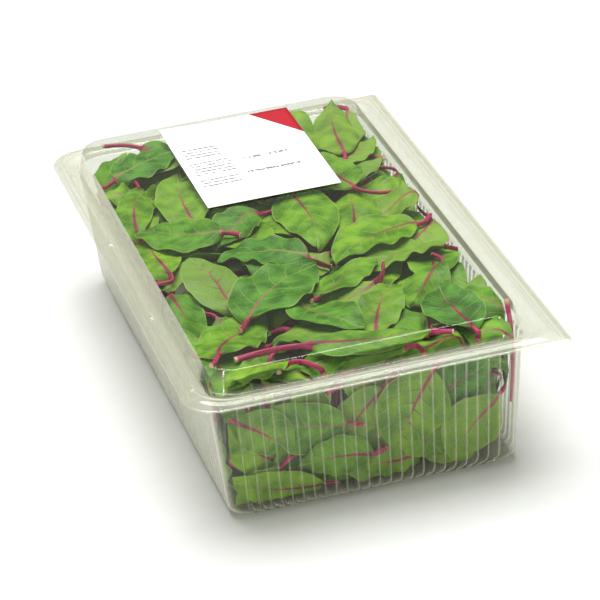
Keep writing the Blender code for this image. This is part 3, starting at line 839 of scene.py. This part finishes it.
def leaf_form(random):
    """What makes one leaf differ from the next."""
    return {
        "middle": random.uniform(0.72, 0.92),
        "fullness": random.uniform(0.62, 0.82),
        "stem": random.uniform(0.75, 1.15),
        "lopsided": random.uniform(-0.12, 0.12),
        "cup": random.uniform(-3.5, 4.5) * MM,
        "arch": random.uniform(-2.5, 4.0) * MM,
        "twist": random.uniform(-3.0, 3.0) * MM,
        "curl": random.uniform(-2.0, 5.0) * MM,
        "frill": random.uniform(0.5, 1.7) * MM,
        "frills": random.uniform(2.2, 4.2),
        "frill_start": random.uniform(0, 2 * math.pi, 2),
        "pucker": random.uniform(0.15, 0.45) * MM,
        "waves": random.uniform(0, 2 * math.pi, (4, 2)),
    }


def natural_relief(form, plan, along, across, strength):
    """How the blade stands off its midplane: cupped, arched, twisted, frilled and puckered."""
    a = np.clip(along, 0, 1)[:, None]
    v = across[None]
    spread = np.abs(v)
    relief = form["cup"] * spread**1.6 * np.sin(math.pi * a) ** 0.5
    relief = relief + form["arch"] * (2 * a - 1) ** 2 + form["twist"] * v * (2 * a - 1)
    relief = relief + form["curl"] * np.clip(a - 0.7, 0, None) ** 2 / 0.09
    side = np.where(v > 0, form["frill_start"][0], form["frill_start"][1])
    frill = np.sin(2 * math.pi * form["frills"] * a + side)
    relief = relief + form["frill"] * frill * spread**3 * np.sin(math.pi * a) ** 0.4
    vein = 0.5 - 0.5 * np.cos(2 * math.pi * VEINS * (a - VEIN_SWEEP * spread**VEIN_CURVE))
    relief = relief - form["pucker"] * vein * (1 - spread**2) * np.clip(spread * 4, 0, 1)
    wave = 0
    for index, (one, two) in enumerate(form["waves"]):
        length = (9 + 4 * index) * MM
        turned = plan @ np.array((math.cos(one), math.sin(one)))
        wave = wave + np.sin(2 * math.pi * turned / length + two) * 0.05 * length
    relief = strength * relief + 0.35 * strength * wave * np.clip(along, 0, 1)[:, None] ** 0.5
    return np.where(along[:, None] < 0, strength * form["arch"], relief)


def lay_leaf(row, face, form, base_depth, strength):
    """Lays one leaf behind the face. Gives its points, faces and the values its material reads."""
    plan, drawn_in, along, across, off = leaf_plan(row, face, form)
    depth = base_depth(plan, along) + natural_relief(form, plan, along, across, strength)
    depth = settle(face, plan, np.maximum(depth + 0.9 * drawn_in, 0.2 * MM))
    stem_radius = STEM_HALF_WIDTH * form["stem"] * 0.95
    round_off = np.sqrt(np.clip(1 - across**2, 0, 1))[None]
    # The midrib stands out on the underside, and thins out to nothing at the tip.
    to_tip = (1 - np.clip(along, 0, 1)[:, None]) ** 1.2
    ridge = stem_radius * to_tip * np.exp(-((off / (1.3 * MM)) ** 2))
    # The round stem flattens into the blade over this share of the blade's length.
    stem_fades = 0.06
    on_stem = np.clip(1 - np.clip(along, -1, 1)[:, None] / stem_fades, 0, 1)
    near = on_stem * stem_radius * (1 - round_off) - (1 - on_stem) * 0.3 * ridge
    blade_far = BLADE + 0.9 * ridge
    far = (1 - on_stem) * blade_far + on_stem * (0.3 * MM + stem_radius * (1 + round_off))
    near, far = depth + near, depth + far
    face.take(denser(plan), denser(far))
    stations = len(along)
    half = stations * LEAF_COLUMNS
    points = np.concatenate([face.place(plan, side).reshape(-1, 3) for side in (near, far)])
    grid = np.arange(half).reshape(stations, LEAF_COLUMNS)
    rim = np.concatenate((grid[:, 0], grid[-1, 1:], grid[-2::-1, -1], grid[0, -2:0:-1]))
    after = np.roll(rim, -1)
    edge = np.stack((rim, rim + half, after + half, after), 1)
    skin = grid_faces(stations, LEAF_COLUMNS)
    faces = np.concatenate((skin, skin[:, ::-1] + half, edge))
    if face.inside_out:
        faces = faces[:, ::-1]
    place = np.zeros((stations, LEAF_COLUMNS, 3))
    place[..., 0] = along[:, None]
    place[..., 1] = across[None]
    place[..., 2] = off
    place = np.tile(place.reshape(-1, 3), (2, 1))
    look = np.tile(np.array(row.look, float), (2 * half, 1))
    # Where one side of the leaf shows its upper face, the other shows its underside.
    look[half:, 2] = 1 - row.look[2]
    return points, faces, place, look


def leaf_object(name, points, faces, place, look, surface):
    """One object of leaves or stems, with the values its material reads at each point."""
    made = mesh_object(name, points, faces, surface)
    made.data.set_sharp_from_angle(angle=SHARP_EDGE)
    for attribute, values in (("leaf_place", place), ("leaf_look", look)):
        stored = made.data.attributes.new(attribute, "FLOAT_VECTOR", "POINT")
        stored.data.foreach_set("vector", values.astype(np.float32).ravel())
    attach(made, "tray")
    return made


def leaf_mesh(name, leaves, surface):
    """One object from one or more laid leaves."""
    points, faces, place, look = zip(*leaves)
    starts = np.cumsum([0] + [len(laid) for laid in points])
    faces = np.concatenate([laid + start for laid, start in zip(faces, starts)])
    points, place, look = map(np.concatenate, (points, place, look))
    return leaf_object(name, points, faces.tolist(), place, look, surface)


def depth_of_node(node, face):
    """Reads how deep a CAD leaf lies behind its face, as a function of the plan."""
    mesh = bpy.data.objects[node].data
    tree = BVHTree.FromPolygons([v.co for v in mesh.vertices], [p.vertices for p in mesh.polygons])
    inward = Vector(face.inward)

    def read(plan, along):
        start = face.place(plan, np.full(plan.shape[:2], -5 * MM))
        depth = np.empty(plan.shape[:2])
        for i in range(plan.shape[0]):
            for j in range(plan.shape[1]):
                origin = Vector(start[i, j])
                hit = tree.ray_cast(origin, inward)[0] or tree.find_nearest(origin)[0]
                depth[i, j] = np.dot(np.array(hit) - face.origin, face.inward)
        for _ in range(6):
            depth = smooth(depth)
        return depth

    return read


def hero_leaves(group, face, rows, random, surface, strength):
    """Replaces each CAD leaf of a group by a finer one laid at the same depth."""
    for index, values in enumerate(rows):
        node = f"{group}_{index + 1:02d}"
        row = Row(values)
        laid = lay_leaf(row, face, leaf_form(random), depth_of_node(node, face), strength)
        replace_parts(leaf_mesh(f"{group}_blade_{index + 1:02d}", [laid], surface), node)


def tucked(face, centre, random, tilt_most):
    """A slanting plane close under what already lies around centre, as a depth over the plan."""
    reach, samples = 24 * MM, 60
    offsets = random.uniform(-reach, reach, (samples, 2))
    around = face.needed(np.clip(centre + offsets, face.low, face.high))
    system = np.column_stack((offsets, np.ones(len(offsets))))
    slope = np.linalg.lstsq(system, around, rcond=None)[0][:2]
    tilt = np.clip(0.6 * slope, -tilt_most, tilt_most) + random.uniform(-0.5, 0.5, 2) * tilt_most
    middle = 0.6 * around.mean()
    return lambda plan, along: middle + (plan - centre) @ tilt


def fill_leaves(name, face, low, high, counts, lengths, random, surface, tilt_most=0.45):
    """Tucks loose leaves behind those already laid, spread evenly, and joins them in layers."""
    low, high = np.array(low) * MM, np.array(high) * MM
    placed = []
    for layer, count in enumerate(counts):
        leaves = []
        for _ in range(count):
            tries = random.uniform(low, high, (PLACE_TRIES, 2))
            centre = tries[0]
            if placed:
                ways = tries[:, None] - np.array(placed[-LAST_LAID:])[None]
                centre = tries[np.linalg.norm(ways, axis=-1).min(1).argmax()]
            placed.append(centre)
            angle = random.uniform(0, 2 * math.pi)
            half = random.uniform(*lengths) / 2 * np.array((math.cos(angle), math.sin(angle)))
            ends = [*(centre / MM - half), *(centre / MM + half)]
            width = 2 * np.linalg.norm(half) * random.uniform(0.52, 0.68)
            shape = [width, random.uniform(12, 34), random.uniform(-50, 50), random.uniform(-4, 4)]
            shade, redness = random.uniform(0.1, 0.9), random.uniform(0.2, 1.0)
            underside = float(random.random() < 0.3)
            row = Row([*ends, *shape, shade, redness, underside])
            base = tucked(face, centre, random, tilt_most)
            leaves.append(lay_leaf(row, face, leaf_form(random), base, 1.0))
        leaf_mesh(f"{name}_{layer + 1}", leaves, surface)


# Each hero leaf: the CAD leaf's own row in millimetres, then its look: its shade from blue-green
# to yellow-green, how red its veins are, and whether its paler underside shows.
TOP_LEAVES = (
    (-50, -92, 2, -46, 45, 14, 15, 4, 0.2, 0.4, 0),
    (10, 48, 9, -24, 37, 10, 10, 5, 0.6, 0.6, 0),
    (-38, 8, -84, 34, 40, 12, -10, 3, 0.3, 0.35, 0),
    (-76, -22, -77, 32, 27, 34, -105, 3, 0.9, 0.9, 0),
    (68, -22, 14, -46, 37, 16, 20, -5, 0.75, 0.5, 0),
    (48, 34, 44, 84, 34, 38, 80, 4, 0.5, 0.9, 0),
    (-78, -138, -38, -78, 36, 12, 0, 5, 0.6, 1.0, 0),
    (-8, -86, 34, -58, 27, 8, 10, 3, 0.6, 0.4, 0),
    (74, -56, 20, -66, 30, 12, -20, -8, 0.6, 0.4, 0.6),
    (32, -16, 44, 42, 31, 18, 60, -3, 0.7, 0.9, 0),
    (-48, 30, -42, 96, 31, 10, 0, 3, 0.6, 0.6, 0.5),
    (-20, -82, 3, -136, 33, 12, 25, -3, 0.25, 0.4, 0),
    (0, -36, -50, -18, 30, 14, -15, -5, 0.1, 0.3, 0),
    (57, 84, 71, 158, 29, 20, -20, 3, 0.8, 0.8, 0.5),
    (-81, 34, -64, 90, 22, 16, 10, 4, 0.6, 1.0, 0),
    (50, 74, 80, 100, 27, 14, 20, 2, 0.6, 0.9, 0.9),
    (-78, 106, -26, 132, 30, 12, -20, 4, 0.1, 0.3, 0),
    (-28, -142, 34, -156, 24, 42, 10, -3, 0.5, 1.0, 0),
    (58, -154, 56, -102, 34, 12, 0, 4, 0.1, 1.0, 0),
    (8, -140, 36, -84, 27, 12, 10, 3, 0.6, 1.0, 0.2),
    (-44, -116, -6, -136, 28, 22, 20, 4, 0.5, 0.5, 0.2),
    (-44, -148, -80, -156, 24, 26, -60, 2, 0.75, 0.7, 0),
    (80, 14, 38, 8, 27, 8, 0, 3, 0.7, 0.5, 0.6),
    (-12, 28, -44, 0, 30, 26, -25, -3, 0.2, 0.4, 0),
    (-30, 60, 22, 76, 38, 16, 20, 4, 0.5, 0.5, 0),
    (20, 120, -22, 96, 36, 16, 0, 4, 0.5, 0.6, 0),
    (-4, 146, 46, 126, 30, 18, 30, -3, 0.4, 0.5, 0),
    (-66, 92, -82, 66, 24, 26, 40, 3, 0.7, 1.0, 0),
)
FRONT_LEAVES = (
    (-28, 8, -80, 20, 24, 8, 0, 3, 0.85, 0.9, 0.3),
    (36, 66, 14, 20, 44, 10, -20, -3, 0.7, 1.0, 0.2),
    (73, 40, 44, 7, 34, 24, 28, -4, 0.75, 0.6, 0.8),
    (-73, 57, -46, 33, 28, 10, 0, 3, 0.6, 1.0, 0.2),
    (0, 22, -42, 22, 25, 8, 10, -3, 0.5, 0.6, 0.1),
    (-14, 44, -66, 60, 34, 10, 0, 4, 0.45, 0.35, 0),
    (16, 29, 40, 10, 26, 12, 30, 3, 0.6, 0.5, 0.3),
    (8, 60, -14, 26, 26, 12, -20, -4, 0.7, 1.0, 0.6),
    (38, 46, 74, 64, 30, 8, 10, 3, 0.2, 0.5, 0),
    (24, 12, -6, 18, 18, 6, 0, 2, 0.6, 1.0, 0.3),
    (-14, 66, 16, 58, 22, 10, 30, 2, 0.5, 0.5, 0.3),
)
BACK_LEAVES = (
    (-62, 40, -16, 24, 32, 12, 20, 3, 0.6, 0.9, 0.2),
    (14, 18, 60, 36, 33, 14, -20, -3, 0.3, 0.5, 0),
    (-30, 16, -70, 20, 24, 10, 10, 3, 0.8, 0.8, 0.5),
    (34, 48, -8, 42, 24, 16, 15, 4, 0.5, 0.6, 0),
)
HINGE_SIDE_LEAVES = (
    (-134, 22, -86, 40, 32, 10, 20, 3, 0.7, 0.9, 0.3),
    (-58, 46, -100, 18, 28, 14, -20, 3, 0.4, 0.6, 0),
    (-46, 24, 2, 38, 34, 10, 15, -4, 0.6, 1.0, 0.6),
    (52, 44, 8, 20, 30, 12, 20, 3, 0.2, 0.4, 0),
    (60, 20, 104, 42, 32, 12, -15, 4, 0.8, 0.8, 0.2),
    (134, 34, 92, 18, 28, 14, 10, 3, 0.5, 0.6, 0.4),
)
OPEN_SIDE_LEAVES = (
    (-132, 40, -84, 26, 36, 10, 15, 3, 0.5, 0.9, 0),
    (-96, 58, -50, 42, 30, 14, -20, 4, 0.8, 0.6, 0.5),
    (-8, 24, -56, 34, 34, 10, 10, -3, 0.3, 0.5, 0),
    (4, 56, 46, 34, 32, 16, 20, 3, 0.6, 1.0, 0.2),
    (96, 42, 50, 20, 33, 12, -15, 3, 0.7, 0.7, 0.6),
    (132, 54, 92, 30, 34, 12, 20, -4, 0.3, 0.5, 0),
)
FLOOR_LEAVES = (
    (-40, -70, 8, -100, 40, 14, 20, 4, 0.5, 0.8, 0.5),
    (36, 40, -14, 76, 40, 14, -20, 4, 0.4, 0.6, 0),
)


def loose_stem(name, path, radius, surface):
    """A bare stem: a round tube along a short path, slimmer at its start, with square ends."""
    path = np.array(path)
    way = np.gradient(path, axis=0)
    way /= np.linalg.norm(way, axis=1)[:, None]
    side = np.cross(way, (0.0, 1.0, 0.0))
    side /= np.linalg.norm(side, axis=1)[:, None]
    up = np.cross(side, way)
    turn = np.linspace(0, 2 * math.pi, 14, endpoint=False)
    ring = np.cos(turn)[None, :, None] * side[:, None] + np.sin(turn)[None, :, None] * up[:, None]
    taper = np.linspace(0.55, 1, len(path))[:, None, None]
    points = (path[:, None] + radius * taper * ring).reshape(-1, 3)
    rows, columns = len(path), len(turn)
    grid = np.arange(rows * columns).reshape(rows, columns)
    after = np.roll(grid, -1, axis=1)
    faces = np.stack((grid[:-1], after[:-1], after[1:], grid[1:]), -1).reshape(-1, 4).tolist()
    faces += [grid[0][::-1].tolist(), grid[-1].tolist()]
    share = np.repeat(np.linspace(-0.3, -1, rows), columns)
    across = np.tile(np.cos(turn), rows)
    place = np.stack((share, across, across * radius), 1)
    look = np.tile((0.6, 1.0, 0.0), (rows * columns, 1))
    return leaf_object(name, points, faces, place, look, surface)


def make_leaves(surface):
    random = np.random.default_rng(11)
    top = top_face()
    hero_leaves("leaf_top", top, TOP_LEAVES, random, surface, 1.0)
    fill_leaves(
        "leaf_layer_top", top, (-84, -156), (76, 142), (44, 30, 24), (38, 60), random, surface
    )
    # Each wall: its leaves' name, its outward way, the CAD leaves' rows, the middles of the loose
    # leaves from one corner to the other in millimetres, how many to a layer, and how much relief.
    walls = (
        ("leaf_front", (0, -1), FRONT_LEAVES, (-72, 10), (72, 70), (9, 9), 0.55),
        ("leaf_back", (0, 1), BACK_LEAVES, (-72, 10), (72, 56), (8, 8), 0.55),
        ("leaf_hinge_side", (1, 0), HINGE_SIDE_LEAVES, (-130, 10), (130, 58), (14, 12), 0.55),
        ("leaf_open_side", (-1, 0), OPEN_SIDE_LEAVES, (-130, 10), (130, 66), (14, 12), 0.55),
    )
    for group, direction, rows, low, high, counts, strength in walls:
        face = wall_face(direction)
        hero_leaves(group, face, rows, random, surface, strength)
        name = group.replace("leaf_", "leaf_layer_")
        fill_leaves(name, face, low, high, counts, (36, 54), random, surface)
    # One long bare stem stands in the front corner on the hinge side, up into the lid's dome.
    steps = np.linspace(0, 1, 14)
    upright = [
        ((75.5 + 6.5 * t) * MM, (-156.5 + 18 * t**3) * MM, (36 + 52 * t) * MM) for t in steps
    ]
    loose_stem("loose_stem_corner", upright, 1.4 * MM, surface)
    floor = floor_face()
    hero_leaves("leaf_floor", floor, FLOOR_LEAVES, random, surface, 0.6)
    fill_leaves("leaf_layer_floor", floor, (-60, -125), (50, 125), (14,), (40, 60), random, surface)


# Surroundings


def studio_floor():
    """Matt white board: all but even, so that only soft shadows show on it."""
    made, tree = new_material("matt_white_studio_board")
    _, _, mix, _ = node_tools(tree)
    grain = noise(tree, add(tree, "ShaderNodeTexCoord").outputs["Object"], 60.0, 2.0)
    colour = mix(grain, linear("#d6d6d5"), linear("#dadad9"))
    shader = add(tree, "ShaderNodeBsdfPrincipled", {"Base Color": colour, "Roughness": 0.85})
    add(tree, "ShaderNodeOutputMaterial", {"Surface": shader.outputs[0]})
    return made


def make_floor():
    """A wide floor, a hair below the foot so that the two faces don't flicker."""
    half, below = 6.0, -0.1 * MM
    corners = [(x * half, y * half, below) for x, y in ((-1, -1), (1, -1), (1, 1), (-1, 1))]
    mesh_object("studio_floor", corners, [(0, 1, 2, 3)], studio_floor(), smooth=False)


def aim(thing, place, target):
    """Puts a thing in its place and turns it to look at the target."""
    thing.location = place
    thing.rotation_euler = (Vector(target) - Vector(place)).to_track_quat("-Z", "Y").to_euler()


def soft_light(name, place, size, power):
    """A soft rectangle of light, aimed at the pack's middle."""
    light = bpy.data.lights.new(name, "AREA")
    light.shape = "RECTANGLE"
    light.size, light.size_y = size
    light.energy = power
    made = bpy.data.objects.new(name, light)
    bpy.context.scene.collection.objects.link(made)
    aim(made, place, (0, 0, 0.05))


def make_lights():
    """One big soft light overhead, a slim strip on each side for the edges, and pale air."""
    soft_light("overhead_softbox", (0.0, 0.35, 1.8), (1.5, 1.5), 60.0)
    soft_light("left_strip", (-1.5, -1.3, 0.55), (0.14, 1.1), 9.0)
    soft_light("right_strip", (1.5, -1.5, 0.6), (0.14, 1.1), 8.0)
    world = bpy.data.worlds.new("pale_studio_air")
    world.use_nodes = True
    background = world.node_tree.nodes["Background"]
    background.inputs["Color"].default_value = linear("#f8f6f0")
    background.inputs["Strength"].default_value = 0.22
    scene = bpy.context.scene
    scene.world = world
    scene.view_settings.view_transform = "Standard"
    # A look through the lid, both flanges and a wall crosses more sheets than the default allows.
    scene.cycles.transparent_max_bounces = 32


def make_camera():
    """A long lens from the front, a little to the opening side, 27 degrees above the floor."""
    azimuth, elevation, roll = math.radians(-13.5), math.radians(26.72), math.radians(-5.2)
    distance, target = 1.9213, Vector((0, -7.56 * MM, 44.3 * MM))
    back = Vector(
        (
            math.sin(azimuth) * math.cos(elevation),
            -math.cos(azimuth) * math.cos(elevation),
            math.sin(elevation),
        )
    )
    level = (-back).cross(Vector((0, 0, 1))).normalized()
    up = level.cross(-back)
    right = math.cos(roll) * level + math.sin(roll) * up
    top = -math.sin(roll) * level + math.cos(roll) * up
    lens = bpy.data.cameras.new("camera")
    lens.sensor_width, lens.lens = 36.0, 201.8
    camera = bpy.data.objects.new("camera", lens)
    bpy.context.scene.collection.objects.link(camera)
    turned = Matrix((right, top, back)).transposed()
    camera.matrix_world = Matrix.Translation(target + distance * back) @ turned.to_4x4()
    bpy.context.scene.camera = camera


def main():
    make_camera()
    make_lights()
    make_floor()
    plastic = clear_pet()
    tray, lid = make_tray(plastic), make_lid(plastic)
    for piece, body in ((tray, "tray"), (lid, "lid")):
        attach(piece, body)
        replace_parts(piece, body)
    beads = make_flange_beads(plastic)
    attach(beads, "lid")
    hinge = make_hinge(plastic)
    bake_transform(hinge)
    label = make_label(coated_label_paper(*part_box("label")))
    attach(label, "lid")
    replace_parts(label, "label")
    make_leaves(fresh_chard())


main()
